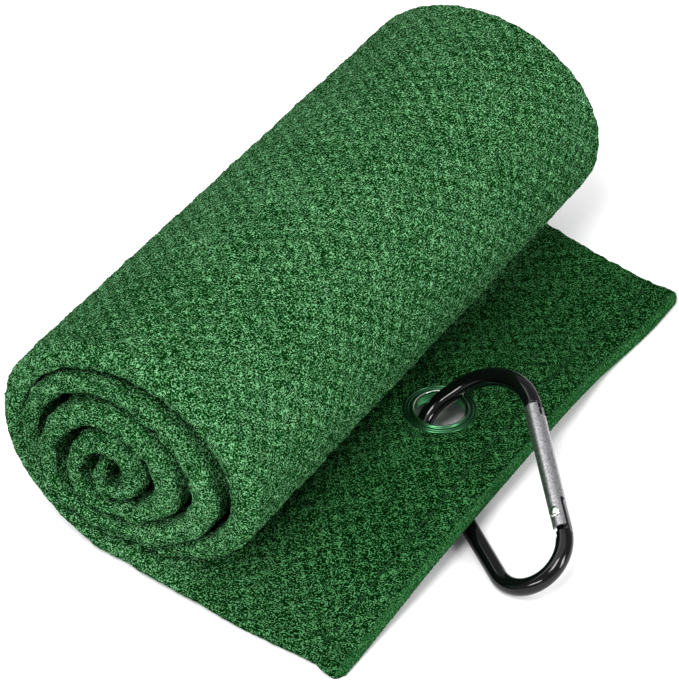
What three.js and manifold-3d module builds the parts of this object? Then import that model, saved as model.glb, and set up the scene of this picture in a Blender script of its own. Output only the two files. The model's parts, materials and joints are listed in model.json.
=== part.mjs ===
// Golf towel: a microfibre towel folded in thirds, rolled up with its outer end left out flat,
// with a metal eyelet in that end and a spring-gate carabiner clipped through the eyelet.
//
// Millimetres, +Z up. The roll lies along Y, the free end points to +X, and z = 0 is the surface
// the towel rests on. Every piece is built in its place.

import * as THREE from "three";
import { mergeVertices } from "three/addons/utils/BufferGeometryUtils.js";
import ManifoldModule from "manifold-3d";

const manifold = await ManifoldModule();
manifold.setup();

const GAP = 0.3;                  // air left between solids that touch on the real object

// Cloth. The towel is 406 mm wide flat and is folded in thirds into one strip.
const STRIP_WIDTH = 139;
const STRIP_THICKNESS = 4.8;      // three layers, lightly pressed
const TURN_PITCH = 5.4;           // strip thickness plus the air between turns
const ROLL_RADIUS = 28.3;         // outside of the outer turn, before it widens under its weight
const ROLL_WIDEN = 1.168;         // width of the roll over its height
const ROLL_FLAT = 0.04;           // share of the radius pressed flat at the bottom
const ROLL_X = 1.1;
const ROLL_Y = 4;                 // middle of the roll along its axis
const CORE_RADIUS = 1.65;         // air left at the middle of the roll
const TURNS = (ROLL_RADIUS - STRIP_THICKNESS - CORE_RADIUS) / TURN_PITCH;
const FACETS_PER_TURN = 44;
const ROLL_SIDE = ROLL_X + ROLL_WIDEN * (ROLL_RADIUS - 0.75 * TURN_PITCH);   // towards +X

// Free end of the strip, left out flat beside the roll.
const EYELET_X = ROLL_SIDE + 3.5;
const TAIL_END_X = EYELET_X + 18.8;   // end edge where it lies on the surface
const TAIL_BOW = 1.6;             // how far the raised middle of the end edge stands out
const TAIL_Y = -2.8;              // middle of the free end along Y
const TAIL_CORNER = 5;            // plan radius of its corners
const TAIL_THICKNESS = { atRoll: 4.4, atEnd: 3.1 };
const TENT = { eyelet: 6.1, end: 4.9, near: -34, far: 10, run: 34 };  // cloth held up by the spine

// Eyelet: a barrel with a rolled front flange, clinched over a washer at the back.
const EYELET = { x: EYELET_X, y: -1.65, top: 9.2, bottom: 6.35, bore: 5.3, wall: 0.42 };
const FRONT_FLANGE = { radius: 7.6, thickness: 0.35 };
const WASHER = { radius: 7.8, z: 6.87, thickness: 0.3 };

// Carabiner, drawn flat in its own plane: x across with the gate at +x, y along with the nose at +y.
const CARABINER_CENTRE = [EYELET.x + 21.4, EYELET.y - 12.85, 8.95];
const CARABINER_TURN = [31.9, -19.6, 50.9];   // degrees about X, Y and Z; Z is applied first
const WIRE = 1.8;                 // radius of the bent rod
const CORNERS = {                 // circles the rod's centre line runs round
  spine: { x: -4.2, y: 18.2, r: 8.45 },
  foot: { x: 0, y: -18.65, r: 8 },
  nose: { x: -0.8, y: 13.2, r: 13.45 },
};
const TUBE = { radius: 1.95, bore: 1.5, start: 0.8, stopAt: 20.6, stop: 0.8 };
const TONGUE = { thickness: 1.6, inner: -1, noseDepth: 2.6, hingeTop: 7 };
const SLOT = 2.4;                 // width of the gate's slots, across the tongue
const RIVET = { s: 4.1, radius: 0.6, head: 0.95, headDepth: 0.35 };
const PLUNGER = { radius: 1.1, length: 2.6 };
const SPRING = { coil: 0.95, wire: 0.17, turns: 9 };

const THREAD = { radius: 0.3, inset: 6 };

const CLOTH = { color: 0x37703f, roughness: 0.95, metalness: 0 };
const SEAM = { color: 0x2f6438, roughness: 0.9, metalness: 0 };
const BLACK = { color: 0x111214, roughness: 0.22, metalness: 0.5 };
const SILVER = { color: 0xb9bbbd, roughness: 0.35, metalness: 1 };
const NICKEL = { color: 0xd4d6d4, roughness: 0.12, metalness: 1 };

const deg = THREE.MathUtils.degToRad;
const smooth = (t) => THREE.MathUtils.smoothstep(t, 0, 1);

// ---- closed surfaces ---------------------------------------------------------------------------

function closedGeometry(points, triangles) {
  const geometry = new THREE.BufferGeometry();
  geometry.setAttribute("position", new THREE.Float32BufferAttribute(points.flat(), 3));
  geometry.setIndex(triangles.flat());
  return geometry;
}

// Skins a list of rings, each a list of the same number of points, and caps both ends.
function loft(rings) {
  const n = rings[0].length;
  const points = rings.flat();
  const triangles = [];
  for (let k = 0; k + 1 < rings.length; k++) {
    for (let i = 0; i < n; i++) {
      const a = k * n + i, b = k * n + ((i + 1) % n);
      triangles.push([a, b, b + n], [a, b + n, a + n]);
    }
  }
  const last = (rings.length - 1) * n;
  for (let i = 1; i + 1 < n; i++) triangles.push([0, i + 1, i], [last, last + i, last + i + 1]);
  return closedGeometry(points, triangles);
}

// Round rod along points; `side` is the direction every ring keeps (the normal of a flat path).
function rod(path, radius, side, sides = 16) {
  const rings = path.map((p, k) => {
    const before = path[Math.max(k - 1, 0)], after = path[Math.min(k + 1, path.length - 1)];
    const along = after.clone().sub(before).normalize();
    const up = side.clone().addScaledVector(along, -side.dot(along)).normalize();
    const across = new THREE.Vector3().crossVectors(up, along);
    return Array.from({ length: sides }, (_, i) => {
      const a = (2 * Math.PI * i) / sides;
      return p.clone().addScaledVector(across, radius * Math.cos(a))
        .addScaledVector(up, -radius * Math.sin(a)).toArray();
    });
  });
  return loft(rings);
}

// Turned part: profile of [radius, height] pairs, closed on itself, about the Z axis.
function turned(profile, sides = 40) {
  const points = profile.map(([r, z]) => new THREE.Vector2(r, z));
  const geometry = new THREE.LatheGeometry([...points, points[0]], sides);
  return geometry.rotateX(Math.PI / 2);
}

function box(sx, sy, sz, x, y, z) {
  return new THREE.BoxGeometry(sx, sy, sz).translate(x, y, z);
}

// ---- booleans ----------------------------------------------------------------------------------

function toSolid(geometry) {
  const bare = geometry.clone();
  for (const name of ["normal", "uv"]) bare.deleteAttribute(name);
  const merged = mergeVertices(bare, 1e-4);
  const mesh = new manifold.Mesh({
    numProp: 3,
    vertProperties: new Float32Array(merged.attributes.position.array),
    triVerts: new Uint32Array(merged.index.array),
  });
  mesh.merge();
  const solid = new manifold.Manifold(mesh);
  return solid.volume() < 0 ? new manifold.Manifold(flipped(mesh)) : solid;
}

function flipped(mesh) {
  const triVerts = mesh.triVerts.slice();
  for (let i = 0; i < triVerts.length; i += 3) {
    [triVerts[i + 1], triVerts[i + 2]] = [triVerts[i + 2], triVerts[i + 1]];
  }
  return new manifold.Mesh({ numProp: 3, vertProperties: mesh.vertProperties, triVerts });
}

function combine(base, { add = [], cut = [] }) {
  let solid = toSolid(base);
  for (const geometry of add) solid = solid.add(toSolid(geometry));
  for (const geometry of cut) solid = solid.subtract(toSolid(geometry));
  const mesh = solid.getMesh();
  const geometry = new THREE.BufferGeometry();
  geometry.setAttribute("position", new THREE.Float32BufferAttribute(mesh.vertProperties, 3));
  geometry.setIndex(new THREE.Uint32BufferAttribute(mesh.triVerts, 1));
  return geometry;
}

// ---- towel -------------------------------------------------------------------------------------

// A point of the roll: `turn` counts turns inward from the bottom, `depth` goes into the strip.
function rollPoint(turn, depth) {
  const angle = -Math.PI / 2 - 2 * Math.PI * turn;
  const radius = ROLL_RADIUS - TURN_PITCH * turn - depth;
  const rise = Math.max(Math.sin(angle), -(1 - ROLL_FLAT));
  const z = ROLL_RADIUS * (1 - ROLL_FLAT) + radius * rise;
  return new THREE.Vector2(ROLL_X + ROLL_WIDEN * radius * Math.cos(angle), Math.max(z, 0));
}

function rollGeometry() {
  const start = -0.04;
  const count = Math.round(TURNS * FACETS_PER_TURN);
  const turns = Array.from({ length: count + 1 }, (_, i) => start + (TURNS - start) * (i / count));
  const outer = turns.map((t) => rollPoint(t, 0));
  const inner = turns.map((t) => rollPoint(t, STRIP_THICKNESS)).reverse();
  const shape = new THREE.Shape([...outer, ...inner]);
  const strip = new THREE.ExtrudeGeometry(shape, { depth: STRIP_WIDTH, bevelEnabled: false });
  return strip.rotateX(Math.PI / 2).translate(0, ROLL_Y + STRIP_WIDTH / 2, 0);
}

// How much of the tent's height the cloth has at y: 1 over the spine, 0 at the corners.
function tentShare(y) {
  if (y < TENT.near) return 1 - smooth((TENT.near - y) / TENT.run);
  return 1 - smooth((y - TENT.far) / TENT.run);
}

function tailUnderside(x, y) {
  const height = THREE.MathUtils.lerp(TENT.eyelet, TENT.end, smooth((x - EYELET.x - 7) / 14));
  return tentShare(y) * height * smooth((x - 0.3 * ROLL_SIDE) / 16);
}

function tailThickness(x) {
  const { atRoll, atEnd } = TAIL_THICKNESS;
  return THREE.MathUtils.lerp(atRoll, atEnd, smooth((x - 0.4 * ROLL_SIDE) / 14));
}

// Middle of the strip along Y: the strip creeps sideways as it runs into the roll.
function stripY(x) {
  return THREE.MathUtils.lerp(ROLL_Y, TAIL_Y, smooth((x - 1) / 22));
}

function tailEndX(y) {
  const toCorner = STRIP_WIDTH / 2 - Math.abs(y - TAIL_Y);
  const t = Math.max(1 - toCorner / TAIL_CORNER, 0);
  return TAIL_END_X + TAIL_BOW * tentShare(y) - TAIL_CORNER * (1 - Math.sqrt(1 - t * t));
}

function tailGeometry() {
  const rows = 16, stations = 40;
  const rings = Array.from({ length: stations + 1 }, (_, j) => {
    const t = j / stations - 0.5;
    const share = 0.5 * (1.2 * t + 0.4 * Math.sin(Math.PI * t));   // closer together at the corners
    const endX = tailEndX(TAIL_Y + STRIP_WIDTH * share);
    const line = Array.from({ length: rows + 1 }, (_, i) => {
      const x = 1 + (endX - 1) * (i / rows);
      const y = stripY(x) + STRIP_WIDTH * share;
      return [x, y, tailUnderside(x, y)];
    });
    const over = line.map(([x, y, z]) => [x, y, z + tailThickness(x)]);
    return [...line, ...over.reverse()];
  });
  const n = rings[0].length, triangles = [];
  for (let j = 0; j < stations; j++) {
    for (let i = 0; i < n; i++) {
      const a = j * n + i, b = j * n + ((i + 1) % n);
      triangles.push([a, b + n, b], [a, a + n, b + n]);
    }
  }
  const last = stations * n;
  for (let i = 0; i < rows; i++) {
    const across = n - 1 - i;
    triangles.push([i, i + 1, across - 1], [i, across - 1, across]);
    triangles.push([last + i, last + across - 1, last + i + 1]);
    triangles.push([last + i, last + across, last + across - 1]);
  }
  return closedGeometry(rings.flat(), triangles);
}

function disc(radius, from, to) {
  const height = to - from;
  return new THREE.CylinderGeometry(radius, radius, height, 40).rotateX(Math.PI / 2)
    .translate(EYELET.x, EYELET.y, from + height / 2);
}

function clothGeometry() {
  const { top, bottom, bore, wall } = EYELET;
  const clinchTop = top - FRONT_FLANGE.thickness - GAP * 0.7;
  const clinchBottom = WASHER.z + WASHER.thickness + GAP * 0.7;
  return combine(rollGeometry(), {
    add: [tailGeometry()],
    cut: [
      disc(bore + wall + GAP, 0, 20),
      disc(FRONT_FLANGE.radius + GAP, clinchTop, top + 5),
      disc(WASHER.radius + GAP, bottom - 5, clinchBottom),
    ],
  });
}

function seamGeometry() {
  const steps = 44, clear = 7;
  const path = Array.from({ length: steps + 1 }, (_, i) => {
    const y = TAIL_Y + (STRIP_WIDTH - 2 * clear) * (i / steps - 0.5);
    const x = tailEndX(y) - THREAD.inset;
    const z = tailUnderside(x, y) + tailThickness(x) + GAP + THREAD.radius;
    return new THREE.Vector3(x, y, z);
  });
  return rod(path, THREAD.radius, new THREE.Vector3(0, 0, 1), 8);
}

// ---- eyelet ------------------------------------------------------------------------------------

function eyeletGeometry() {
  const { top, bottom, bore, wall, x, y } = EYELET;
  const t = FRONT_FLANGE.thickness, edge = FRONT_FLANGE.radius;
  const curl = bore + wall + 0.75;
  const profile = [
    [bore, bottom + 0.5], [bore, top - 0.45], [bore + 0.12, top - 0.14], [bore + 0.4, top],
    [bore + 0.9, top], [edge - 0.2, top - 0.12], [edge, top - 0.3], [edge - 0.15, top - t],
    [bore + wall, top - t],
    [bore + wall, bottom + 0.5], [bore + wall + 0.12, bottom + 0.36], [curl, bottom + 0.3],
    [curl, bottom], [bore + 0.42, bottom], [bore + 0.14, bottom + 0.14],
  ];
  return turned(profile).translate(x, y, 0);
}

function washerGeometry() {
  const inner = EYELET.bore + EYELET.wall + GAP, outer = WASHER.radius;
  const low = WASHER.z, high = WASHER.z + WASHER.thickness;
  return turned([[inner, low], [inner, high], [outer, high], [outer, low]])
    .translate(EYELET.x, EYELET.y, 0);
}

// ---- carabiner, in its own plane ---------------------------------------------------------------

// Direction, in radians, of the outward normal of the line that touches circle a and then circle b.
function tangentAngle(a, b) {
  const along = Math.atan2(b.y - a.y, b.x - a.x);
  return along - Math.acos((a.r - b.r) / Math.hypot(b.x - a.x, b.y - a.y));
}

const onCircle = (c, angle) =>
  new THREE.Vector3(c.x + c.r * Math.cos(angle), c.y + c.r * Math.sin(angle), 0);

const GATE_NORMAL = tangentAngle(CORNERS.foot, CORNERS.nose);
const GATE_FOOT = onCircle(CORNERS.foot, GATE_NORMAL);
const GATE_HEAD = onCircle(CORNERS.nose, GATE_NORMAL);
const GATE_LENGTH = GATE_FOOT.distanceTo(GATE_HEAD);

function arc(circle, from, to, steps) {
  return Array.from({ length: steps + 1 }, (_, i) => onCircle(circle, from + (to - from) * (i / steps)));
}

// The rod's centre line, from the nose round the top, down the spine and round the foot.
function rodPath() {
  const { spine, foot, nose } = CORNERS;
  const full = 2 * Math.PI;
  const overTop = tangentAngle(nose, spine);
  const downSpine = tangentAngle(spine, foot) + full;
  return [
    ...arc(nose, GATE_NORMAL, overTop, 12),
    ...arc(spine, overTop, downSpine, 12),
    ...arc(foot, downSpine, GATE_NORMAL + full, 20),
  ];
}

// Gate frame: s runs up the gate from its foot, x points outward. Pieces are drawn along +Y in it.
function inGateFrame(geometry) {
  const along = GATE_HEAD.clone().sub(GATE_FOOT).normalize();
  const normal = new THREE.Vector3(0, 0, 1);
  const outward = new THREE.Vector3().crossVectors(along, normal);
  const frame = new THREE.Matrix4().makeBasis(outward, along, normal).setPosition(GATE_FOOT);
  return geometry.applyMatrix4(frame);
}

const placed = (geometry) => {
  const turn = new THREE.Euler(...CARABINER_TURN.map(deg), "XYZ");
  const frame = new THREE.Matrix4().makeRotationFromEuler(turn);
  return geometry.applyMatrix4(frame.setPosition(...CARABINER_CENTRE));
};

// Plate in the carabiner's plane: from x0 to x1 across the gate and s0 to s1 along it.
function plate(x0, x1, s0, s1, thickness) {
  return inGateFrame(box(x1 - x0, s1 - s0, thickness, (x0 + x1) / 2, (s0 + s1) / 2, 0));
}

function bodyGeometry() {
  const path = rodPath();
  const bend = rod(path, WIRE, new THREE.Vector3(0, 0, 1), 18);
  const { thickness, inner, noseDepth, hingeTop } = TONGUE;
  const rivetHole = new THREE.CylinderGeometry(RIVET.radius + GAP * 0.5, RIVET.radius + GAP * 0.5, 6, 20)
    .rotateX(Math.PI / 2).translate(0, RIVET.s, 0);
  return placed(combine(bend, {
    add: [
      plate(inner, WIRE - 0.05, -1, hingeTop, thickness),
      plate(inner, -inner, GATE_LENGTH - noseDepth, GATE_LENGTH + 0.5, thickness),
    ],
    cut: [
      plate(-3, inner + 0.02, -1.2, 0.5, 6),
      inGateFrame(rivetHole),
    ],
  }));
}

function gateGeometry() {
  const end = GATE_LENGTH - GAP;
  const { radius, bore, start, stopAt, stop } = TUBE;
  const tube = new THREE.CylinderGeometry(radius, radius, end - start, 32)
    .translate(0, (start + end) / 2, 0);
  const hole = (from, to) => inGateFrame(
    new THREE.CylinderGeometry(bore, bore, to - from, 32).translate(0, (from + to) / 2, 0));
  const rivetHole = new THREE.CylinderGeometry(RIVET.radius + GAP * 0.4, RIVET.radius + GAP * 0.4, 6, 20)
    .rotateX(Math.PI / 2).translate(0, RIVET.s, 0);
  return placed(combine(inGateFrame(tube), {
    cut: [
      hole(start - 1, stopAt), hole(stopAt + stop, end + 1),
      plate(0, 4, start - 1, TONGUE.hingeTop + 0.7, SLOT),
      plate(-4, 0, start - 1, RIVET.s + 0.4, SLOT),
      plate(0, 4, end - TONGUE.noseDepth - 0.4, end + 1, SLOT),
      inGateFrame(rivetHole),
    ],
  }));
}

function rivetGeometry() {
  const { radius, head, headDepth, s } = RIVET;
  const face = TUBE.radius + GAP * 0.5, top = face + headDepth;
  const rivet = turned([
    [0, -top], [head * 0.75, -top], [head, -face - 0.08], [head, -face], [radius, -face],
    [radius, face], [head, face], [head, face + 0.08], [head * 0.75, top], [0, top],
  ], 24);
  return placed(inGateFrame(rivet.translate(0, s, 0)));
}

function plungerGeometry() {
  const { radius, length } = PLUNGER;
  const from = TONGUE.hingeTop + GAP;
  const pin = new THREE.CylinderGeometry(radius, radius, length, 24).translate(0, from + length / 2, 0);
  return placed(inGateFrame(pin));
}

function springGeometry() {
  const from = TONGUE.hingeTop + GAP + PLUNGER.length + GAP + SPRING.wire;
  const to = TUBE.stopAt - GAP - SPRING.wire;
  const steps = SPRING.turns * 12;
  const path = Array.from({ length: steps + 1 }, (_, i) => {
    const a = (2 * Math.PI * SPRING.turns * i) / steps;
    const s = from + ((to - from) * i) / steps;
    return new THREE.Vector3(SPRING.coil * Math.cos(a), s, SPRING.coil * Math.sin(a));
  });
  return placed(inGateFrame(rod(path, SPRING.wire, new THREE.Vector3(0, 1, 0), 6)));
}

// ---- assembly ----------------------------------------------------------------------------------

function piece(name, geometry, finish) {
  const solid = combine(geometry, {});
  solid.computeVertexNormals();
  const mesh = new THREE.Mesh(solid, new THREE.MeshStandardMaterial(finish));
  mesh.name = name;
  return mesh;
}

const towel = new THREE.Group();
towel.name = "golf_towel";
towel.add(
  piece("towel_cloth", clothGeometry(), CLOTH),
  piece("hem_thread", seamGeometry(), SEAM),
  piece("eyelet_front", eyeletGeometry(), NICKEL),
  piece("eyelet_washer", washerGeometry(), NICKEL),
  piece("carabiner_body", bodyGeometry(), BLACK),
  piece("gate_tube", gateGeometry(), SILVER),
  piece("gate_rivet", rivetGeometry(), SILVER),
  piece("gate_plunger", plungerGeometry(), NICKEL),
  piece("gate_spring", springGeometry(), NICKEL),
);

export default towel;
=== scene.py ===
import json
import math

import bmesh
import bpy
import numpy as np
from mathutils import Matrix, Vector


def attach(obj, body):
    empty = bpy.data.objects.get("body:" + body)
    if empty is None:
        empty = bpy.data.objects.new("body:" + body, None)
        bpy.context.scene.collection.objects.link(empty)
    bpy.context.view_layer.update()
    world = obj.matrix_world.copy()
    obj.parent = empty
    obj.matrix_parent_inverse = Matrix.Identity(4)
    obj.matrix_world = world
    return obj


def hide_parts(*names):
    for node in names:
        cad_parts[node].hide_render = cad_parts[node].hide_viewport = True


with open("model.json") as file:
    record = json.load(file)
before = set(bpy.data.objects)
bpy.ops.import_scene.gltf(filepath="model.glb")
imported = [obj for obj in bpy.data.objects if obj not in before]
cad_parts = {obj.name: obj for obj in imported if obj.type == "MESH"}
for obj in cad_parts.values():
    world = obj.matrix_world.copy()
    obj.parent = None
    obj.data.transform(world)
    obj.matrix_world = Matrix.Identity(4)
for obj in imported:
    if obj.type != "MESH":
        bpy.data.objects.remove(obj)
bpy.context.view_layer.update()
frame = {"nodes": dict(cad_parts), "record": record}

MM = 0.001
joints = {joint["name"]: joint for joint in frame["record"]["behaviour"]["joints"]}


def direction(azimuth, elevation):
    """Unit vector at this azimuth, which runs from -Y towards +X, and elevation."""
    return Vector((
        math.sin(azimuth) * math.cos(elevation),
        -math.cos(azimuth) * math.cos(elevation),
        math.sin(elevation),
    ))


# ---- camera ------------------------------------------------------------------------------------

TARGET = Vector((20.37, -20.65, 35.0)) * MM
AZIMUTH, ELEVATION, DISTANCE = math.radians(31.716), math.radians(39.47), 0.6271
SENSOR_WIDTH, FOCAL_LENGTH = 36, 167.95

back = direction(AZIMUTH, ELEVATION)
camera = bpy.data.objects.new("camera", bpy.data.cameras.new("camera"))
camera.data.sensor_width = SENSOR_WIDTH
camera.data.lens = FOCAL_LENGTH
camera.data.clip_start, camera.data.clip_end = 0.01, 50
camera.location = TARGET + back * DISTANCE
camera.rotation_euler = (-back).to_track_quat("-Z", "Y").to_euler()
bpy.context.collection.objects.link(camera)
bpy.context.scene.camera = camera

# ---- sizes in millimetres, the first groups shared with the CAD model --------------------------

# the strip is the towel folded in thirds; its turns are wound round a core
STRIP_WIDTH, STRIP_THICKNESS, TURN_PITCH = 139, 4.8, 5.4
ROLL_RADIUS, ROLL_WIDEN, ROLL_FLAT = 28.3, 1.168, 0.04
ROLL_X, ROLL_Y, ROLL_START_X, CORE_RADIUS = 1.1, 4, 1, 1.65
TURNS = (ROLL_RADIUS - STRIP_THICKNESS - CORE_RADIUS) / TURN_PITCH
ROLL_SIDE = ROLL_X + ROLL_WIDEN * (ROLL_RADIUS - 0.75 * TURN_PITCH)

EYELET_X, EYELET_Y = (joints["carabiner_swing"]["pos_m"][i] / MM for i in (0, 1))
EYELET_TOP, EYELET_BOTTOM, BORE, WALL = 9.2, 6.35, 5.3, 0.42
FLANGE_RADIUS, WASHER_RADIUS, WASHER_Z = 7.6, 7.8, 6.87
CLOTH_HOLE, GRIP_RADIUS, GRIP_RUN = 6.25, 7.9, 2.6
GRIP_Z, GRIP_THICKNESS = 7.38, 1.24

TAIL_END_X, TAIL_BOW, TAIL_Y, TAIL_CORNER = EYELET_X + 18.8, 1.6, -2.8, 3
TAIL_THICK, TAIL_THIN = 4.4, 3.1
TENT_HIGH, TENT_LOW, TENT_NEAR, TENT_FAR, TENT_RUN = 6.1, 4.9, -34, 10, 34
STITCH_INSET = 6

# how the real cloth differs from the CAD model's even strip
FAR_CORNER_REACH, NEAR_EDGE_DRAW = 1.9, 1.6
TIGHT_SIDE, UNEVEN, SAG = math.radians(236), 1.7, 2.2
CORE_EXTRA_TURNS, CORE_HOLLOW = 0.45, 0.9
WAFFLE_PITCH = 4.3
FLOOR_GAP = 0.02   # cloth that lies on the floor stays this far above it

# rows of points along the strip: the free end, the outer turn, the inner turns
TAIL_STATIONS, OUTER_STATIONS, INNER_STATIONS = 96, 330, 150
OUTER_TURN, OUTER_TURN_RADIUS = 1.05, 29

# painted shade on the free end, where the roll's shadow falls: darker, with deeper gaps
TAIL_SHADE_TINT = (0.33, 0.50, 0.365)
TAIL_SHADE_CONTRAST = 0.4

rng = np.random.default_rng(7)


def smooth(t):
    t = np.clip(t, 0, 1)
    return t * t * (3 - 2 * t)


def lerp(a, b, t):
    return a + (b - a) * t


def waves(u, v, pitch, seed, count=7, spread=0.6):
    """Smooth unevenness between about -1 and 1, with bumps about pitch across."""
    r = np.random.default_rng(seed)
    total = np.zeros(np.broadcast(u, v).shape)
    for _ in range(count):
        a, k = r.uniform(0, math.pi), 2 * math.pi / (pitch * r.uniform(1 - spread, 1 + spread))
        total += np.sin(k * (u * math.cos(a) + v * math.sin(a)) + r.uniform(0, 2 * math.pi))
    return total / math.sqrt(count) / 1.4


def run_along(points):
    """The length of a line of points up to each of them."""
    return np.concatenate([[0], np.cumsum(np.linalg.norm(np.diff(points, axis=0), axis=1))])


# ---- materials ---------------------------------------------------------------------------------


class Nodes:
    """Short names for making a node tree."""

    def __init__(self, name):
        self.material = bpy.data.materials.new(name)
        self.material.use_nodes = True
        self.tree = self.material.node_tree
        self.shader = self.tree.nodes["Principled BSDF"]
        self.position = self.node("ShaderNodeTexCoord").outputs["Object"]

    def set(self, socket, value):
        if isinstance(value, bpy.types.NodeSocket):
            self.tree.links.new(value, socket)
        else:
            socket.default_value = value

    def node(self, kind, inputs=None, **settings):
        node = self.tree.nodes.new(kind)
        for key, value in settings.items():
            setattr(node, key, value)
        for key, value in (inputs or {}).items():
            self.set(node.inputs[key], value)
        return node

    def math(self, operation, a, b=0.0):
        return self.node("ShaderNodeMath", {0: a, 1: b}, operation=operation).outputs[0]

    def total(self, start, *terms):
        """start plus the product of each (value, weight) pair."""
        for value, weight in terms:
            start = self.math("ADD", start, self.math("MULTIPLY", value, weight))
        return start

    def centred(self, value, middle=0.5):
        return self.math("SUBTRACT", value, middle)

    def ramp(self, factor, stops):
        """Colours, or greys given as one number, blended along factor."""
        node = self.node("ShaderNodeValToRGB", {"Fac": factor})
        elements = node.color_ramp.elements
        while len(elements) < len(stops):
            elements.new(0.5)
        for element, (position, colour) in zip(elements, stops):
            element.position = position
            element.color = (*colour, 1) if hasattr(colour, "__len__") else (colour,) * 3 + (1,)
        return node.outputs["Color"]

    def mix(self, factor, a, b, blend="MIX"):
        node = self.node("ShaderNodeMix", data_type="RGBA", blend_type=blend)
        # this node has inputs for numbers and vectors too; its colours are inputs 6 and 7
        for index, value in ((0, factor), (6, a), (7, b)):
            self.set(node.inputs[index], (*value, 1) if isinstance(value, tuple) else value)
        return node.outputs[2]

    def noise(self, scale, detail=2.0, roughness=0.5):
        inputs = {"Scale": scale, "Detail": detail, "Roughness": roughness, "Vector": self.position}
        return self.node("ShaderNodeTexNoise", inputs).outputs["Fac"]

    def cells(self, scale, randomness):
        """Distance from the middle of each of the cells, which lie close together."""
        inputs = {"Scale": scale, "Randomness": randomness, "Vector": self.position}
        return self.node("ShaderNodeTexVoronoi", inputs, feature="F1").outputs["Distance"]

    def attribute(self, name):
        return self.node("ShaderNodeAttribute", attribute_name=name).outputs["Fac"]

    def bump(self, height, distance, strength=1.0):
        inputs = {"Height": height, "Distance": distance, "Strength": strength}
        return self.node("ShaderNodeBump", inputs).outputs["Normal"]

    def finish(self, **values):
        for key, value in values.items():
            self.set(self.shader.inputs[key.replace("_", " ")], value)
        return self.material


def cloth_material(name, dark, mid, light, grain=1.0, painted_light=False):
    """Looped microfibre: curling loop tips over gaps, in slow patches of tone. A loop's height also
    sets its colour: painted shade in the gaps, and on the tips their own lighter tone with a painted
    highlight in it. The mesh's relief attribute paints shade into the waffle's hollows, and a second
    attribute paints the shadow that falls on the free end. The scales are per metre, so the loops
    are about 0.4 mm across and the patches 3 and 20 mm."""
    n = Nodes(name)
    curls, middle_tone = 2.7, 0.53
    swirl = n.noise(1450 * grain, 0.0)
    curl = n.math("SINE", n.math("MULTIPLY", swirl, 2 * math.pi * curls))
    loops = n.cells(2500 * grain, 0.7)
    fibre = n.noise(3400 * grain, 1.0)
    uneven, broad = n.noise(300), n.noise(45)
    # a loop's height is also its tone: painted shade in the gaps, and on the tips their own lighter
    # tone with a painted highlight in it
    height = n.total(0.436, (curl, 0.125), (loops, -0.56), (fibre, 0.62))
    # the relief term paints shade into the waffle's hollows
    tone = n.total(
        height, (n.centred(uneven), 0.07), (n.centred(broad), 0.12), (n.attribute("relief"), 0.05))
    # painted shade on the free end: more contrast where the shade is painted
    if painted_light:
        shaded = n.math("SUBTRACT", 1.0, n.attribute("painted_light"))
        shade_contrast = n.math("MULTIPLY", shaded, TAIL_SHADE_CONTRAST)
        tone = n.total(tone, (n.centred(tone, middle_tone), shade_contrast))
    # the ramp's light end holds the tips' painted highlight as well as their own colour
    low = tuple(lerp(a, b, 0.42) for a, b in zip(dark, mid))
    colour = n.ramp(tone, [(0.35, dark), (0.43, low), (middle_tone, mid), (0.70, light)])
    # painted shade: the free end's colour is multiplied darker
    if painted_light:
        shade_tint = n.mix(n.attribute("painted_light"), TAIL_SHADE_TINT, (1.0, 1.0, 1.0))
        colour = n.mix(1.0, colour, shade_tint, "MULTIPLY")
    return n.finish(
        Base_Color=colour,
        Roughness=0.95,
        Specular_IOR_Level=0.0,
        Normal=n.bump(height, 0.0011),
    )


def metal_material(
        name, colour, roughness, metallic=1.0, spots=0.0, scratch=2200, bump=0.000008, specular=0.5,
        speckle=0.0):
    """Worked metal: uneven polish, fine scratches, a few duller patches, and for a cast or blasted
    surface a speckle of darker grains."""
    n = Nodes(name)
    fine = n.noise(scratch, 3.0, 0.6)
    patches = n.noise(170, 3.0, 0.55)
    darker = tuple(c * (1 - 0.25 * (spots + 0.3)) for c in colour)
    base = n.mix(n.math("MULTIPLY", patches, 0.5 + spots * 0.5), colour, darker)
    if speckle:
        base = n.mix(1.0, base, n.ramp(fine, [(0.36, 1 - speckle), (0.62, 1.0)]), "MULTIPLY")
    return n.finish(
        Base_Color=base,
        Metallic=metallic,
        Roughness=n.total(roughness * 0.75, (fine, roughness * 0.3), (patches, roughness * 0.2)),
        Specular_IOR_Level=specular,
        Normal=n.bump(fine, bump, 0.6),
    )


CLOTH = cloth_material(
    "cloth_green",
    dark=(0.0002, 0.020, 0.0008), mid=(0.030, 0.140, 0.040), light=(0.20, 0.47, 0.225),
    painted_light=True,
)
HEM = cloth_material(
    "hem_green",
    dark=(0.003, 0.045, 0.007), mid=(0.026, 0.125, 0.034), light=(0.075, 0.24, 0.09),
    grain=1.25,
)
THREAD = cloth_material(
    "thread_green",
    dark=(0.003, 0.026, 0.006), mid=(0.016, 0.075, 0.022), light=(0.05, 0.16, 0.06),
    grain=2.0,
)
BLACK = metal_material(
    "black_gloss", (0.0012, 0.0012, 0.0015), 0.1, metallic=0.0, bump=0.000002, specular=0.28)
SILVER = metal_material(
    "satin_silver", (0.52, 0.51, 0.53), 0.38, spots=0.4, scratch=2300, bump=0.00004, speckle=0.5)
BRIGHT = metal_material("bright_steel", (0.78, 0.79, 0.78), 0.12, spots=0.2)
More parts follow.
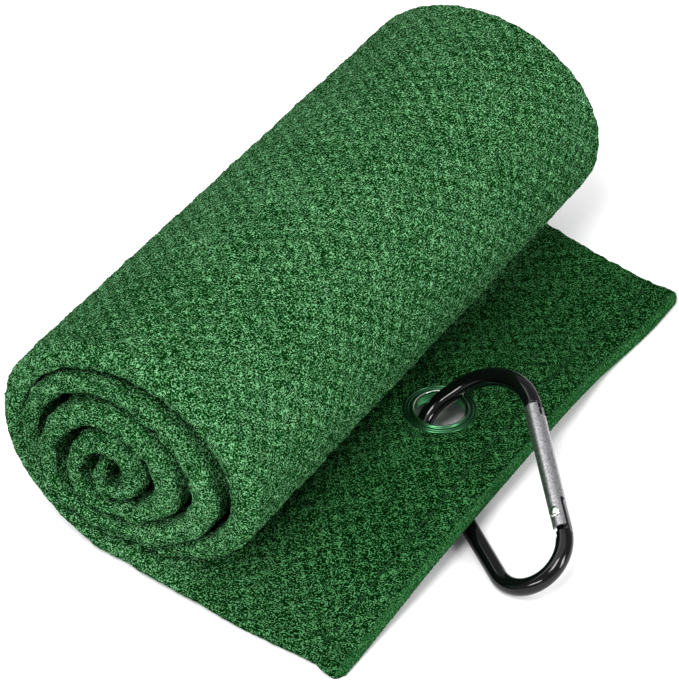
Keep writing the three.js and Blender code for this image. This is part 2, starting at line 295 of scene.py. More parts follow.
# the eyelet's metals are tinted green: painted reflection of the green cloth, strongest in the bore
EYELET_METAL_GREEN_REFLECTION = metal_material("eyelet_nickel_painted_green_reflection", (0.50, 0.66, 0.53), 0.12, spots=0.3)
EYELET_RINGS_GREEN_REFLECTION = metal_material("eyelet_rings_painted_green_reflection", (0.045, 0.16, 0.07), 0.32, spots=0.4)
EYELET_BORE_GREEN_REFLECTION = metal_material("eyelet_bore_painted_green_reflection", (0.07, 0.42, 0.15), 0.22, spots=0.3)

# ---- mesh helpers ------------------------------------------------------------------------------


def new_object(name, points_mm, faces, material, body, slot, crease=35):
    mesh = bpy.data.meshes.new(name)
    mesh.from_pydata((np.asarray(points_mm, float) * MM).tolist(), [], faces)
    obj = bpy.data.objects.new(name, mesh)
    bpy.context.collection.objects.link(obj)
    mesh.materials.append(material)
    shade(mesh, crease)
    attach(obj, body)
    return obj


def shade(mesh, crease):
    """Faces turned outward and smooth, with edges sharper than crease degrees kept sharp."""
    bm = bmesh.new()
    bm.from_mesh(mesh)
    bmesh.ops.recalc_face_normals(bm, faces=bm.faces)
    for face in bm.faces:
        face.smooth = True
    for edge in bm.edges:
        edge.smooth = len(edge.link_faces) != 2 or edge.calc_face_angle(0) < math.radians(crease)
    bm.to_mesh(mesh)
    bm.free()


def apply_modifiers(obj, crease):
    bpy.context.view_layer.update()
    evaluated = obj.evaluated_get(bpy.context.evaluated_depsgraph_get())
    made = bpy.data.meshes.new_from_object(evaluated)
    obj.modifiers.clear()
    obj.data = made
    shade(made, crease)


def turned(profile, sides=96):
    """A closed profile of (radius, height) pairs, turned about the Z axis."""
    points, faces, n = [], [], len(profile)
    for i in range(sides):
        a = 2 * math.pi * i / sides
        points += [(r * math.cos(a), r * math.sin(a), z) for r, z in profile]
    for i in range(sides):
        j = (i + 1) % sides
        faces += [
            (i * n + k, j * n + k, j * n + (k + 1) % n, i * n + (k + 1) % n) for k in range(n)]
    return np.array(points), faces


def capped(rings, sides):
    """Faces that join rings of points one after another, with a cap at each end."""
    faces = [
        (k * sides + i, k * sides + (i + 1) % sides,
         (k + 1) * sides + (i + 1) % sides, (k + 1) * sides + i)
        for k in range(rings - 1) for i in range(sides)
    ]
    last = (rings - 1) * sides
    return faces + [tuple(reversed(range(sides))), tuple(range(last, last + sides))]


def tube(path, radii, side, sides):
    """A round rod along path, with capped ends; side is a direction that every ring keeps."""
    path = np.asarray(path, float)
    along = np.gradient(path, axis=0)
    along /= np.linalg.norm(along, axis=1)[:, None]
    up = side - along * (along @ side)[:, None]
    up /= np.linalg.norm(up, axis=1)[:, None]
    across = np.cross(up, along)
    a = 2 * np.pi * np.arange(sides) / sides
    r = np.broadcast_to(radii, len(path))[:, None, None]
    rings = path[:, None] + r * (
        across[:, None] * np.cos(a)[None, :, None] + up[:, None] * np.sin(a)[None, :, None])
    return rings.reshape(-1, 3), capped(len(path), sides)


def block(x0, x1, y0, y1, z0, z1, radius):
    """A block with all of its edges rounded."""
    bm = bmesh.new()
    bmesh.ops.create_cube(bm, size=1)
    for v in bm.verts:
        v.co = Vector((
            lerp(x0, x1, v.co.x + 0.5), lerp(y0, y1, v.co.y + 0.5), lerp(z0, z1, v.co.z + 0.5)))
    bmesh.ops.bevel(bm, geom=bm.edges[:], offset=radius, segments=3, profile=0.5, affect="EDGES")
    bm.verts.index_update()
    points = np.array([v.co[:] for v in bm.verts])
    faces = [tuple(v.index for v in f.verts) for f in bm.faces]
    bm.free()
    return points, faces


def joined(*parts):
    points, faces, start = [], [], 0
    for p, f in parts:
        points.append(np.asarray(p, float))
        faces += [tuple(i + start for i in face) for face in f]
        start += len(p)
    return np.concatenate(points), faces


# ---- towel: the strip's course -----------------------------------------------------------------


def tent_share(y):
    """1 where the free end stands highest off the floor, falling to 0 at its two corners."""
    return np.where(
        y < TENT_NEAR, 1 - smooth((TENT_NEAR - y) / TENT_RUN), 1 - smooth((y - TENT_FAR) / TENT_RUN))


def tail_end_x(y):
    """The free end's edge: bowed out in its middle, longer at its far corner, rounded at both."""
    t = np.maximum(1 - (STRIP_WIDTH / 2 - np.abs(y - TAIL_Y)) / TAIL_CORNER, 0)
    corner = TAIL_CORNER * (1 - np.sqrt(np.maximum(1 - t * t, 0)))
    return TAIL_END_X + TAIL_BOW * tent_share(y) + FAR_CORNER_REACH * smooth((y - 30) / 28) - corner


def tail_underside(x, y):
    """The height under the free end, a little less past the eyelet and none under the roll."""
    height = lerp(TENT_HIGH, TENT_LOW, smooth((x - EYELET_X - 7) / 14))
    return tent_share(y) * height * smooth((x - 0.3 * ROLL_SIDE) / 16)


def tail_thickness(x):
    """TAIL_THICK under the roll, easing to TAIL_THIN along the free end."""
    return lerp(TAIL_THICK, TAIL_THIN, smooth((x - 0.4 * ROLL_SIDE) / 14))


def strip_y(run, v):
    """The strip creeps sideways, its far edge sooner; run is the distance from the end edge."""
    creep_run = lerp(75, 44, np.clip(v / STRIP_WIDTH + 0.5, 0, 1))
    return lerp(TAIL_Y, ROLL_Y, smooth(run / creep_run))


def pinch(x, y):
    """1 where the eyelet grips the cloth, falling to 0 around it."""
    return 1 - smooth((np.hypot(x - EYELET_X, y - EYELET_Y) - GRIP_RADIUS) / GRIP_RUN)


def drawn_in(run, v):
    """How far the near edge is drawn in, most just behind the hem; run is the distance from it."""
    behind_hem = smooth((run + 0.4) / 4.4) * (1 - 0.5 * smooth((run - 8) / 16))
    near_edge = smooth((-v - 40) / 29)
    return NEAR_EDGE_DRAW * behind_hem * (1 - smooth((run - 24) / 24)) * near_edge


def tail_point(u, v, share):
    """u runs from 0 at the end edge to 1 under the roll; share is the depth over the thickness."""
    end = tail_end_x(TAIL_Y + v)
    x = end + (ROLL_START_X - end) * u
    y = strip_y(end - x, v) + v + drawn_in(end - x, v)
    grip = pinch(x, y)
    low = lerp(tail_underside(x, y), GRIP_Z, grip)
    thick = lerp(tail_thickness(x), GRIP_THICKNESS, grip)
    return np.stack([x, y, low + thick * share], -1)


def roll_point(turn, v, share):
    """turn counts turns inward from the bottom of the roll. The turns are wound tighter on the low
    side away from the tail, so the strip is thinner there and the inner turns sit off centre."""
    # inward is 1 from the first inner turn on, and deep near the core
    inward, deep = smooth((turn - 0.6) / 0.6), smooth((turn - 1.7) / 1.4)
    angle = -math.pi / 2 - 2 * math.pi * turn
    tight = math.cos(angle - TIGHT_SIDE)
    outer_radius = ROLL_RADIUS - TURN_PITCH * turn
    thick = STRIP_THICKNESS - 0.25 * inward + 0.2 * deep - UNEVEN * tight * smooth(turn / 0.09)
    radius = outer_radius - share * min(thick, outer_radius - CORE_HOLLOW)
    # the inner turns wander in and out, less near the core
    wander = inward * (0.6 * math.sin(2 * angle + 0.7) + 0.45 * math.sin(3 * angle + 2.1))
    radius = radius + wander * np.clip(radius / 14, 0.1, 1)
    # the roll is wider than it is high, flat where it lies, and its core is rounder
    rise = np.maximum(math.sin(angle), -(1 - ROLL_FLAT)) * (1 + 0.03 * deep)
    wide = ROLL_WIDEN * (1 - 0.1 * deep - 0.25 * smooth(turn - 3))
    aside = UNEVEN * max(turn - 0.75, 0) + SAG * smooth((turn - 0.7) / 0.6)
    x = ROLL_X + wide * radius * math.cos(angle) + aside * math.cos(TIGHT_SIDE) - 1.5 * inward
    z = ROLL_RADIUS * (1 - ROLL_FLAT) + radius * rise + aside * math.sin(TIGHT_SIDE)
    # the inner turns slip along the roll, on the whole towards its near end
    slip = inward * (0.2 + 0.5 * math.sin(2.1 * turn + 0.4) + 0.4 * math.sin(5.3 * turn))
    slip -= 1.6 * smooth((turn - 1) / 1.2)
    run = TAIL_END_X - ROLL_START_X + 2 * math.pi * OUTER_TURN_RADIUS * turn
    y = strip_y(run, v) + v * (1 - 0.012 * inward) + slip
    return np.stack([x, y, np.maximum(z, 0)], -1)


def half_turn(count):
    """Angles inside a half turn, without its two ends."""
    return np.linspace(0, np.pi, count + 2)[1:-1]


def strip_outline(thickness):
    """The towel folded in thirds, cut across, as a closed outline: places across the strip, depths
    over the thickness, a mark of 1 on what faces out of the folded towel, and the number of points
    on the sheet's outer side. Every thickness gives the same number of points."""
    sheet = 0.9 * thickness / 3
    big, small = thickness / 3, thickness / 6
    near, far = -STRIP_WIDTH / 2 + big + sheet / 2, STRIP_WIDTH / 2 - small - sheet / 2
    # where the sheet's own two edges lie: inside the near fold, and on top short of the far one
    inner_edge, outer_edge = near + 1.4, STRIP_WIDTH / 2 - 4
    flap_count = 24

    def side(sign, layer_count, far_count, near_count):
        """One side of the sheet, 1 the outer one: the inner third, the fold at the far edge, the
        bottom third, the fold at the near edge, and the top third."""
        off = sign * sheet / 2
        turn_far, turn_near = half_turn(far_count), half_turn(near_count)
        stretches = [
            (np.linspace(inner_edge, far, flap_count), np.full(flap_count, thickness / 2 + off)),
            (far + (small + off) * np.sin(turn_far),
             thickness / 3 + (small + off) * np.cos(turn_far)),
            (np.linspace(far, near, layer_count), np.full(layer_count, thickness / 6 - off)),
            (near - (big + off) * np.sin(turn_near),
             thickness / 2 - (big + off) * np.cos(turn_near)),
            (np.linspace(near, outer_edge, layer_count),
             np.full(layer_count, 5 * thickness / 6 + off)),
        ]
        across = np.concatenate([stretch[0] for stretch in stretches])
        depth = np.concatenate([stretch[1] for stretch in stretches])
        outside = np.full(len(across), float(sign > 0))
        outside[:flap_count] = 0
        return across, depth, outside

    def free_edge(across, depth, sign):
        """The sheet's rounded edge between its two sides; 1 at the top third's, which shows."""
        a = half_turn(4)
        reach = sign * sheet / 2
        return across + reach * np.sin(a), depth + reach * np.cos(a), np.full(4, float(sign > 0))

    outer = side(1, 278, 9, 18)
    inner = [values[::-1] for values in side(-1, 24, 5, 9)]
    parts = [
        outer, free_edge(outer_edge, 5 * thickness / 6, 1),
        inner, free_edge(inner_edge, thickness / 2, -1),
    ]
    across, depth, outside = [np.concatenate([part[k] for part in parts]) for k in range(3)]
    return across, depth / thickness, outside, len(outer[0])


def towel_points():
    """Rings of points round the folded strip, one for each station from the free end's edge to the
    core, with the ring's outside marks and its number of points on the outer side."""
    rings = []
    for k in range(TAIL_STATIONS):
        u = k / TAIL_STATIONS
        thickness = lerp(TAIL_THIN, TAIL_THICK, smooth((u - 0.45) / 0.3))
        across, share, outside, outer_count = strip_outline(thickness)
        rings.append(tail_point(u, across, share))
    turns = np.concatenate([
        np.linspace(0, OUTER_TURN, OUTER_STATIONS, endpoint=False),
        np.linspace(OUTER_TURN, TURNS + CORE_EXTRA_TURNS, INNER_STATIONS),
    ])
    across, share, outside, outer_count = strip_outline(STRIP_THICKNESS)
    rings += [roll_point(turn, across, share) for turn in turns]
    return np.array(rings), outside, outer_count


# ---- towel: the sheet's mesh -------------------------------------------------------------------


def weave_lengths(points):
    """Lengths along the towel and round the ring, so that the weave keeps its size."""
    step = np.linalg.norm(np.diff(points, axis=0), axis=2)
    along = np.concatenate([np.zeros((1, points.shape[1])), np.cumsum(step, axis=0)])
    around = np.linalg.norm(points - np.roll(points, 1, axis=1), axis=2)
    return np.median(along, axis=1)[:, None], np.cumsum(np.median(around, axis=0))[None, :]


def outward_normals(points, outside):
    ahead = np.concatenate([points[1:], points[-1:]])
    behind = np.concatenate([points[:1], points[:-1]])
    sideways = np.roll(points, -1, axis=1) - np.roll(points, 1, axis=1)
    normal = np.cross(ahead - behind, sideways)
    normal /= np.maximum(np.linalg.norm(normal, axis=2, keepdims=True), 1e-9)
    # tried at a point well inside the bottom third's outer side, on the roll's outer turn
    station, point = TAIL_STATIONS + OUTER_STATIONS // 3, int(np.argmax(outside)) + 150
    out_of_strip = points[station, point] - points[station].mean(0)
    return normal if normal[station, point] @ out_of_strip > 0 else -normal


def cloth_height(points, along, around, outside, relief):
    """How far each point stands out: waffle, lumps and single loops on what shows, less of them on
    what lies on the floor, and puffs on the turns' ends. The eyelet presses it all flat."""
    waffle_depth, lump_depth, loop_depth = 0.10, 0.14, 0.07
    puff_depth, end_loop_depth = 0.42, 0.05
    lumps = waves(along, around, pitch=12, seed=3)
    loops = rng.normal(0, 1, points.shape[:2])
    puffs = waves(along, around, pitch=5, seed=11, count=12)
    station = np.arange(len(points))[:, None]
    amount = outside * lerp(0.15, 1.0, smooth(points[:, :, 2] / 1.5))
    off_middle = np.abs(points[:, :, 1] - ROLL_Y)
    turn_ends = smooth((off_middle - 62) / 5) * smooth((station - TAIL_STATIONS - 250) / 60)
    height = amount * (waffle_depth * relief + lump_depth * lumps + loop_depth * loops)
    height += turn_ends * (puff_depth * puffs + end_loop_depth * loops)
    grip = pinch(points[:, :, 0], points[:, :, 1]) * (station < TAIL_STATIONS)
    return height * (1 - grip)


def corners(values):
    """The four corners of each quad, in order round it, from an array of stations by ring."""
    beside = np.roll(values, -1, 1)
    return values[:-1], values[1:], beside[1:], beside[:-1]


def reaches_hole(points):
    """True for each quad of the free end that reaches into the hole for the eyelet's barrel."""
    c00, c10, c11, c01 = corners(points)
    cut = np.zeros(c00.shape[:2], bool)
    for a in np.linspace(0, 1, 9):
        for b in np.linspace(0, 1, 9):
            spot = lerp(lerp(c00, c01, a), lerp(c10, c11, a), b)
            cut |= np.hypot(spot[..., 0] - EYELET_X, spot[..., 1] - EYELET_Y) < CLOTH_HOLE
    cut[TAIL_STATIONS:] = False
    return cut


def zipper(ring, left, right):
    """Triangles between two lines of a ring's points that start and finish side by side."""
    def shares(line):
        run = run_along(ring[line])
        return run / run[-1]

    a, b, i, j = shares(left), shares(right), 0, 0
    while i + 1 < len(left) or j + 1 < len(right):
        if j + 1 >= len(right) or (i + 1 < len(left) and a[i + 1] <= b[j + 1]):
            yield left[i], left[i + 1], right[j]
            i += 1
        else:
            yield left[i], right[j + 1], right[j]
            j += 1


def sheet_mesh(points, quads):
    mesh = bpy.data.meshes.new("towel_sheet")
    mesh.vertices.add(points.shape[0] * points.shape[1])
    mesh.vertices.foreach_set("co", (points.reshape(-1, 3) * MM).ravel())
    mesh.loops.add(quads.size)
    mesh.loops.foreach_set("vertex_index", quads.ravel())
    mesh.polygons.add(len(quads))
    mesh.polygons.foreach_set("loop_start", np.arange(0, quads.size, 4))
    mesh.update(calc_edges=True)
    mesh.validate()
    return mesh


def add_attribute(mesh, name, values):
    attribute = mesh.attributes.new(name, "FLOAT", "POINT")
    attribute.data.foreach_set("value", values.ravel().astype(np.float32))


def close_ends(mesh, points, index, outer_count):
    """Closes the sheet between its two sides at its first and last station."""
    ring = points.shape[1]
    outer, inner = list(range(outer_count)), list(range(ring - 1, outer_count - 1, -1))
    bm = bmesh.new()
    bm.from_mesh(mesh)
    bm.verts.ensure_lookup_table()
    for k in (0, len(points) - 1):
        for triangle in zipper(points[k], outer, inner):
            bm.faces.new([bm.verts[int(index[k, i])] for i in triangle])
    bmesh.ops.delete(bm, geom=[v for v in bm.verts if not v.link_faces], context="VERTS")
    bmesh.ops.recalc_face_normals(bm, faces=bm.faces)
    for face in bm.faces:
        face.smooth = True
    bm.to_mesh(mesh)
    bm.free()


def build_towel():
    points, outside, outer_count = towel_points()
    stations, ring = points.shape[:2]
    along, around = weave_lengths(points)
    waffle = np.cos(2 * np.pi * along / WAFFLE_PITCH) * np.cos(2 * np.pi * around / WAFFLE_PITCH)
    relief = np.sign(waffle) * np.abs(waffle) ** 0.7
    height = cloth_height(points, along, around, outside, relief)
    points = points + outward_normals(points, outside) * height[:, :, None]
    points[:, :, 2] = np.maximum(points[:, :, 2], FLOOR_GAP)

    index = np.arange(stations * ring).reshape(stations, ring)
    quads = np.stack(corners(index), -1)[~reaches_hole(points)]
    mesh = sheet_mesh(points, quads)
    # relief also paints shade into the waffle's hollows in the material
    add_attribute(mesh, "relief", outside * relief)
    # painted shade: 1 where none is painted, 0 on the free end, but 0.3 at its near edge, which is
    # painted lighter
    station = np.arange(stations)[:, None]
    near_edge = 0.3 * smooth((-points[:, :, 1] - 35) / 35)
    add_attribute(mesh, "painted_light", np.maximum(smooth((station - 55) / 25), near_edge))
    close_ends(mesh, points, index, outer_count)

    obj = bpy.data.objects.new("towel_sheet", mesh)
    bpy.context.collection.objects.link(obj)
    mesh.materials.append(CLOTH)
    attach(obj, "towel")
    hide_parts("towel_cloth")
    return obj


towel = build_towel()

# ---- hem ---------------------------------------------------------------------------------------


def end_band():
    """Overlocked edge: thread wrapped over the end of the strip, in slanting ridges."""
    reach, rise, middle_z, set_back = 0.85, 1.66, 1.58, 0.25
    ridge_pitch, ridge_depth, unevenness, taper_run = 1.15, 0.055, 0.02, 2.2
    sides, half = 22, STRIP_WIDTH / 2 - 0.8
    y = TAIL_Y + np.linspace(-half, half, 620)
    middle = np.stack([tail_end_x(y), y], -1)
    outward = np.stack([np.gradient(middle[:, 1]), -np.gradient(middle[:, 0])], -1)
    outward /= np.linalg.norm(outward, axis=1)[:, None]
    a = np.linspace(0, 2 * np.pi, sides, endpoint=False)
    run = run_along(middle)
    ridge = np.cos(2 * np.pi * (run[:, None] / ridge_pitch - a[None, :] / (2 * np.pi)))
    swell = 1 + ridge_depth * ridge + rng.normal(0, unevenness, ridge.shape)
    taper = smooth(np.minimum(run, run[-1] - run) / taper_run)[:, None] * 0.6 + 0.4
    out = (reach * np.cos(a))[None, :] * swell * taper - set_back
    up = (rise * np.sin(a))[None, :] * swell * taper
    low = tail_underside(middle[:, 0], middle[:, 1])
    points = np.stack([
        middle[:, 0, None] + outward[:, 0, None] * out,
        middle[:, 1, None] + outward[:, 1, None] * out,
        np.maximum(low[:, None] + middle_z + up, FLOOR_GAP),
    ], -1)
    return points.reshape(-1, 3), capped(len(points), sides)


def stitches():
    """A row of lockstitches, each a short plump thread that dips into the cloth at its ends."""
    length, gap, radius, row = 2.5, 0.5, 0.30, STRIP_WIDTH - 10
    slant, lift, dip = 0.12, 0.12, 0.45
    t = np.linspace(-1, 1, 9)
    parts = []
    for k in range(int(row / (length + gap))):
        y = TAIL_Y - row / 2 + (k + 0.5) * (length + gap) + t / 2 * length
        x = tail_end_x(y) - STITCH_INSET + slant * t
        z = tail_underside(x, y) + tail_thickness(x) + lift - dip * t ** 4
        path = np.stack([x, y, z], -1)
        parts.append(tube(path, radius * np.sqrt(1.05 - t ** 6), np.array([0, 0, 1.0]), 8))
    return joined(*parts)


hem = new_object("hem_overlock", *end_band(), HEM, "towel", "thread")
seam = new_object("hem_stitches", *stitches(), THREAD, "towel", "thread")
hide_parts("hem_thread")

# ---- eyelet ------------------------------------------------------------------------------------


def bead(r, z, radius, start, stop, count=8):
    """An arc of a profile round (r, z), between two angles in degrees."""
    a = np.radians(np.linspace(start, stop, count))
    return [(r + radius * math.cos(t), z + radius * math.sin(t)) for t in a]


def eyelet_front():
    """A barrel with a rolled lip, two pressed rings on its flange and a foot curled outward."""
    top, bottom, outer = EYELET_TOP, EYELET_BOTTOM, BORE + WALL
    profile = (
        [(BORE, bottom + 0.5), (BORE, 7.6), (BORE, top - 0.5)]
        + bead(outer, top - WALL, WALL, 180, 12, 12)
        + [(6.32, top - WALL)]
        + bead(6.70, top - 0.50, 0.22, 150, 30, 6)
        + bead(7.32, top - 0.52, 0.25, 160, -20, 9)
        + [(FLANGE_RADIUS - 0.1, top - 0.62), (outer + 0.1, top - 0.62), (outer, top - 0.7)]
        + [(outer, bottom + 0.5)]
        + bead(BORE + 0.78, bottom + 0.25, 0.25, 120, -90, 8)
        + bead(BORE + 0.4, bottom + 0.4, 0.4, 270, 200, 6)
    )
    points, faces = turned(profile, 128)
    return points + [EYELET_X, EYELET_Y, 0], faces


def eyelet_washer():
    """A flat ring with small bevels and a shallow groove in its underside."""
    inner, outer, low, high = BORE + WALL + 0.3, WASHER_RADIUS, WASHER_Z, WASHER_Z + 0.3
    profile = [
        (inner, low + 0.05), (inner, high - 0.05), (inner + 0.1, high), (outer - 0.12, high),
        (outer, high - 0.12), (outer, low + 0.12), (outer - 0.12, low), (7.0, low),
        (6.85, low + 0.08), (6.7, low), (inner + 0.1, low),
    ]
    points, faces = turned(profile)
    return points + [EYELET_X, EYELET_Y, 0], faces


front = new_object("eyelet_rim", *eyelet_front(), EYELET_METAL_GREEN_REFLECTION, "towel", "eyelet_metal", 50)
front.data.materials.append(EYELET_BORE_GREEN_REFLECTION)
front.data.materials.append(EYELET_RINGS_GREEN_REFLECTION)
# the bore's faces and the flange's ringed faces take the green-tinted metals: painted reflection of
# the cloth
for face in front.data.polygons:
    x, y, z = face.center / MM
    from_axis = math.hypot(x - EYELET_X, y - EYELET_Y)
    if from_axis < BORE + 0.1 and z < EYELET_TOP - 0.3:
        face.material_index = 1
    elif from_axis > BORE + 0.5:
        face.material_index = 2
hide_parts("eyelet_front")
washer = new_object("eyelet_back", *eyelet_washer(), EYELET_METAL_GREEN_REFLECTION, "towel", "eyelet_metal", 50)
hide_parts("eyelet_washer")

# ---- carabiner ---------------------------------------------------------------------------------

WIRE, RIVET_S = 1.8, 4.1
TUBE_RADIUS, TUBE_BORE, TUBE_START, TUBE_STOP = 1.95, 1.5, 0.8, 20.6
# circles that the rod's middle line runs round, as (x, y, radius) in the carabiner's own plane
SPINE, FOOT, NOSE = (-4.2, 18.2, 8.45), (0, -18.65, 8), (-0.8, 13.2, 13.45)
# the foot's flat: where it lies on the outward axis, and where it starts and stops along the gate
FLAT_OUT, FLAT_FROM, FLAT_TO = -0.98, -1.22, 2
# the gate's slots: half their width, and how far they run at the foot, inside it and at the nose
SLOT_HALF, FOOT_SLOT, INNER_SLOT, NOSE_SLOT = 1.2, 7.7, RIVET_S + 0.4, 3.0

normal = np.array(joints["gate_hinge"]["axis"], float)
normal /= np.linalg.norm(normal)
along_gate = np.array(joints["plunger_slide"]["axis"], float)
along_gate /= np.linalg.norm(along_gate)
outward = np.cross(along_gate, normal)
gate_foot = np.array(joints["gate_hinge"]["pos_m"]) / MM - RIVET_S * along_gate


def tangent_angle(a, b):
    """Angle of the outward normal of the line that touches circle a and then circle b."""
    along = math.atan2(b[1] - a[1], b[0] - a[0])
    return along - math.acos((a[2] - b[2]) / math.hypot(b[0] - a[0], b[1] - a[1]))


def on_circle(circle, angle):
    x, y, r = circle
    return np.stack([x + r * np.cos(angle), y + r * np.sin(angle)], -1)


gate_angle = tangent_angle(FOOT, NOSE)
foot_point, head_point = on_circle(FOOT, gate_angle), on_circle(NOSE, gate_angle)
gate_length = float(np.hypot(*(head_point - foot_point)))
plane_x = math.cos(gate_angle) * outward - math.sin(gate_angle) * along_gate
plane_y = math.sin(gate_angle) * outward + math.cos(gate_angle) * along_gate


def in_plane(points):
    """From the carabiner's own plane to the row frame, in millimetres."""
    p = np.atleast_2d(points) - foot_point
    return gate_foot + p[:, :1] * plane_x + p[:, 1:2] * plane_y


def in_gate(points):
    """From the gate's frame (outward, along, normal) to the row frame."""
    p = np.atleast_2d(points)
    return gate_foot + p[:, :1] * outward + p[:, 1:2] * along_gate + p[:, 2:3] * normal


def rod_path():
    """The rod's middle line from the gate's nose end round to its foot: arcs and straight runs."""
    over, down = tangent_angle(NOSE, SPINE), tangent_angle(SPINE, FOOT) + 2 * math.pi
    pieces = [
        on_circle(NOSE, np.linspace(gate_angle, over, 56)),
        on_circle(SPINE, np.linspace(over, down, 56)),
        on_circle(FOOT, np.linspace(down, gate_angle + 2 * math.pi, 72)),
    ]
    path = []
    for k, piece in enumerate(pieces):
        if k:
            start, stop = path[-1][-1], piece[0]
            path.append(start + (stop - start) * np.linspace(0, 1, 14)[1:-1, None])
        path.append(piece)
    return np.concatenate(path)


def carabiner_rod():
    """The bent rod, a little thicker round its nose, with rounded ends and a flat for the gate."""
    end_round, thicker = 0.3, 0.15
    path = rod_path()
    run = run_along(path)
    # the places of its rings, close together at both ends and beside the flat
    ends = np.array([0, 0.06, 0.16, 0.3])
    beside_flat = np.array([1.3, 1.25, 1.2, 1.15, 0.9, 0.6])
    between = run[(run > 0.32) & (run < run[-1] - 1.4)]
    at = np.concatenate([ends, between, run[-1] - beside_flat, run[-1] - ends[::-1]])
    path = np.stack([np.interp(at, run, path[:, i]) for i in (0, 1)], -1)
    into_round = np.maximum(end_round - np.minimum(at, run[-1] - at), 0)
    radii = WIRE - end_round + np.sqrt(np.maximum(end_round ** 2 - into_round ** 2, 0))
    radii += thicker * smooth(at / 6) * (1 - smooth((at - 22) / 8))
    points, faces = tube(in_plane(path), radii, normal, 40)
    out, up = (points - gate_foot) @ outward, (points - gate_foot) @ along_gate
    # the loop's other side is level with the foot, so the cut stops 3 mm in
    cut = (up > FLAT_FROM) & (up < FLAT_TO) & (out < FLAT_OUT) & (out > -3)
    points[cut] += np.outer(FLAT_OUT - out[cut], outward)
    return points, faces


def tongue_plate(x0, x1, s0, s1):
    thickness, edge_round = 1.6, 0.22
    points, faces = block(x0, x1, s0, s1, -thickness / 2, thickness / 2, edge_round)
    return in_gate(points), faces


def gate_shell():
    """The gate's tube as a thin sheet, with a slot at each end for the tongues."""
    end = gate_length - 0.3
    slot = math.asin(SLOT_HALF / TUBE_RADIUS)
    slot_ends = [FOOT_SLOT, INNER_SLOT, end - NOSE_SLOT]
    marks = np.sort(np.concatenate([np.linspace(TUBE_START, end, 150), slot_ends]))
    # turned by a hair, so that no side falls on a slot's edge
    sides = np.linspace(-math.pi, math.pi, 72, endpoint=False) + 0.013
    angles = np.sort(np.concatenate([sides, [slot, -slot, math.pi - slot, slot - math.pi]]))
    m = len(angles)
    points = np.array([
        (TUBE_RADIUS * math.cos(a), s, TUBE_RADIUS * math.sin(a)) for s in marks for a in angles])
    faces = []
    for k in range(len(marks) - 1):
        s = (marks[k] + marks[k + 1]) / 2
        for i in range(m):
            j = (i + 1) % m
            a = (angles[i] + angles[j]) / 2 if j else math.pi
            in_outer_slot = abs(a) < slot and (s < FOOT_SLOT or s > end - NOSE_SLOT)
            in_inner_slot = abs(a) > math.pi - slot and s < INNER_SLOT
            if not in_outer_slot and not in_inner_slot:
                faces.append((k * m + i, k * m + j, (k + 1) * m + j, (k + 1) * m + i))
    return in_gate(points), faces


def gate_stop():
    """A bevelled disc in the tube, which the spring bears on."""
    low, high, radius, bevel = TUBE_STOP, TUBE_STOP + 0.8, 1.45, 0.15
    profile = [
        (0, low), (radius - bevel, low), (radius, low + 0.12),
        (radius, high - 0.1), (radius - bevel, high), (0, high),
    ]
    points, faces = turned(profile, 32)
    return in_gate(points[:, [0, 2, 1]]), faces


def rivet():
    """A pin with a flat-backed domed head at each end."""
    face, top, head, pin_radius = TUBE_RADIUS + 0.06, TUBE_RADIUS + 0.52, 1.2, 0.6
    dome = [
        (head * math.cos(t), face + 0.05 + (top - face - 0.05) * math.sin(t))
        for t in np.radians(np.linspace(0, 88, 8))
    ]
    profile = (
        [(0, -top)] + [(r, -z) for r, z in dome[::-1]]
        + [(head - 0.04, -face), (pin_radius, -face), (pin_radius, face), (head - 0.04, face)]
        + dome + [(0, top)]
    )
    points, faces = turned(profile, 40)
    return in_gate(points + [0, RIVET_S, 0]), faces


body = new_object("carabiner_rod", *carabiner_rod(), BLACK, "carabiner", "black_aluminium")
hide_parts("carabiner_body")

new_object(
    "carabiner_tongues",
    *joined(
        tongue_plate(-1, WIRE - 0.08, -1, 7),
        tongue_plate(-1, 1, gate_length - 2.6, gate_length + 0.6),
    ),
    BLACK, "carabiner", "black_aluminium",
)

shell = new_object("gate_shell", *gate_shell(), SILVER, "gate", "silver_aluminium")
wall = shell.modifiers.new("wall", "SOLIDIFY")
wall.thickness = (TUBE_RADIUS - TUBE_BORE) * MM
wall.offset = -1
rounding = shell.modifiers.new("edges", "BEVEL")
rounding.width = 0.08 * MM
rounding.segments = 2
rounding.limit_method = "ANGLE"
rounding.angle_limit = math.radians(40)
apply_modifiers(shell, 40)
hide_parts("gate_tube")

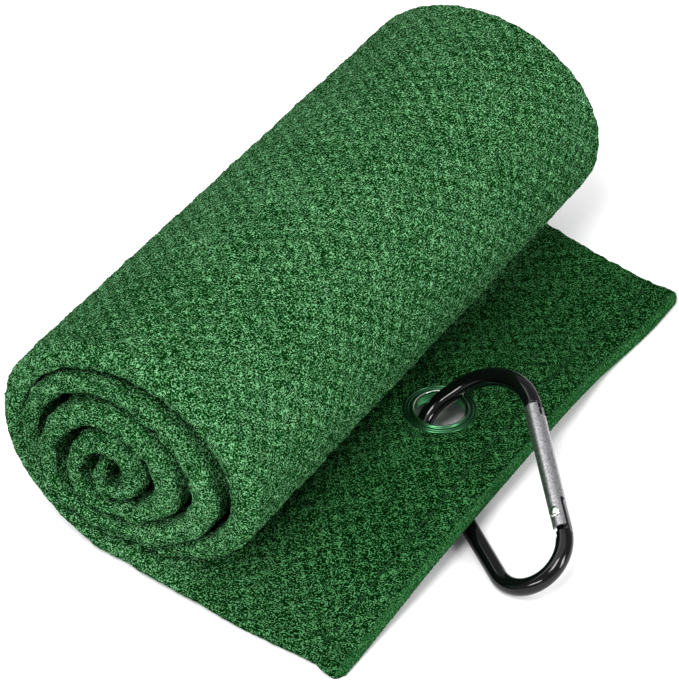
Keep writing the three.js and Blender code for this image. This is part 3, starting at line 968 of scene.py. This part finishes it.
new_object("gate_stop", *gate_stop(), SILVER, "gate", "silver_aluminium")

pin = new_object("gate_pin", *rivet(), BRIGHT, "carabiner", "bright_steel", 50)
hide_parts("gate_rivet")

# the plunger and the spring show as the CAD model's own solids
for name in ("gate_plunger", "gate_spring"):
    node = frame["nodes"][name]
    node.data.materials.clear()
    node.data.materials.append(BRIGHT)

# ---- stage -------------------------------------------------------------------------------------


def floor():
    half = 4.0
    corner_points = [(-half, -half, 0), (half, -half, 0), (half, half, 0), (-half, half, 0)]
    mesh = bpy.data.meshes.new("floor")
    mesh.from_pydata(corner_points, [], [(0, 1, 2, 3)])
    obj = bpy.data.objects.new("floor", mesh)
    bpy.context.collection.objects.link(obj)
    n = Nodes("pale_floor")
    mesh.materials.append(
        n.finish(Base_Color=(0.86, 0.86, 0.86, 1), Roughness=0.9, Specular_IOR_Level=0.1))


def area_light(name, azimuth, elevation, distance, size, power, height=None):
    """A rectangular light turned to the towel; degrees, metres and watts."""
    target = Vector((20, 0, 20)) * MM
    toward = direction(math.radians(azimuth), math.radians(elevation))
    data = bpy.data.lights.new(name, "AREA")
    data.energy = power
    data.shape = "RECTANGLE"
    data.size = size
    data.size_y = height or size
    obj = bpy.data.objects.new(name, data)
    obj.location = target + toward * distance
    obj.rotation_euler = (-toward).to_track_quat("-Z", "Y").to_euler()
    bpy.context.collection.objects.link(obj)


floor()
area_light("front", azimuth=10, elevation=56, distance=1.2, size=0.4, power=9.8)
area_light("right", azimuth=82, elevation=22, distance=1.2, size=0.3, power=12.2, height=0.6)
area_light("top", azimuth=-20, elevation=78, distance=1.5, size=1.4, power=8)
area_light("low", azimuth=-7, elevation=23, distance=1.2, size=0.6, power=6.5, height=0.12)
area_light("left", azimuth=-80, elevation=40, distance=1.5, size=0.9, power=6)

world = bpy.data.worlds.new("world")
bpy.context.scene.world = world
world.use_nodes = True
sky = world.node_tree.nodes["Background"]
sky.inputs["Color"].default_value = (1, 1, 1, 1)
sky.inputs["Strength"].default_value = 0.5
bpy.context.scene.view_settings.view_transform = "Standard"
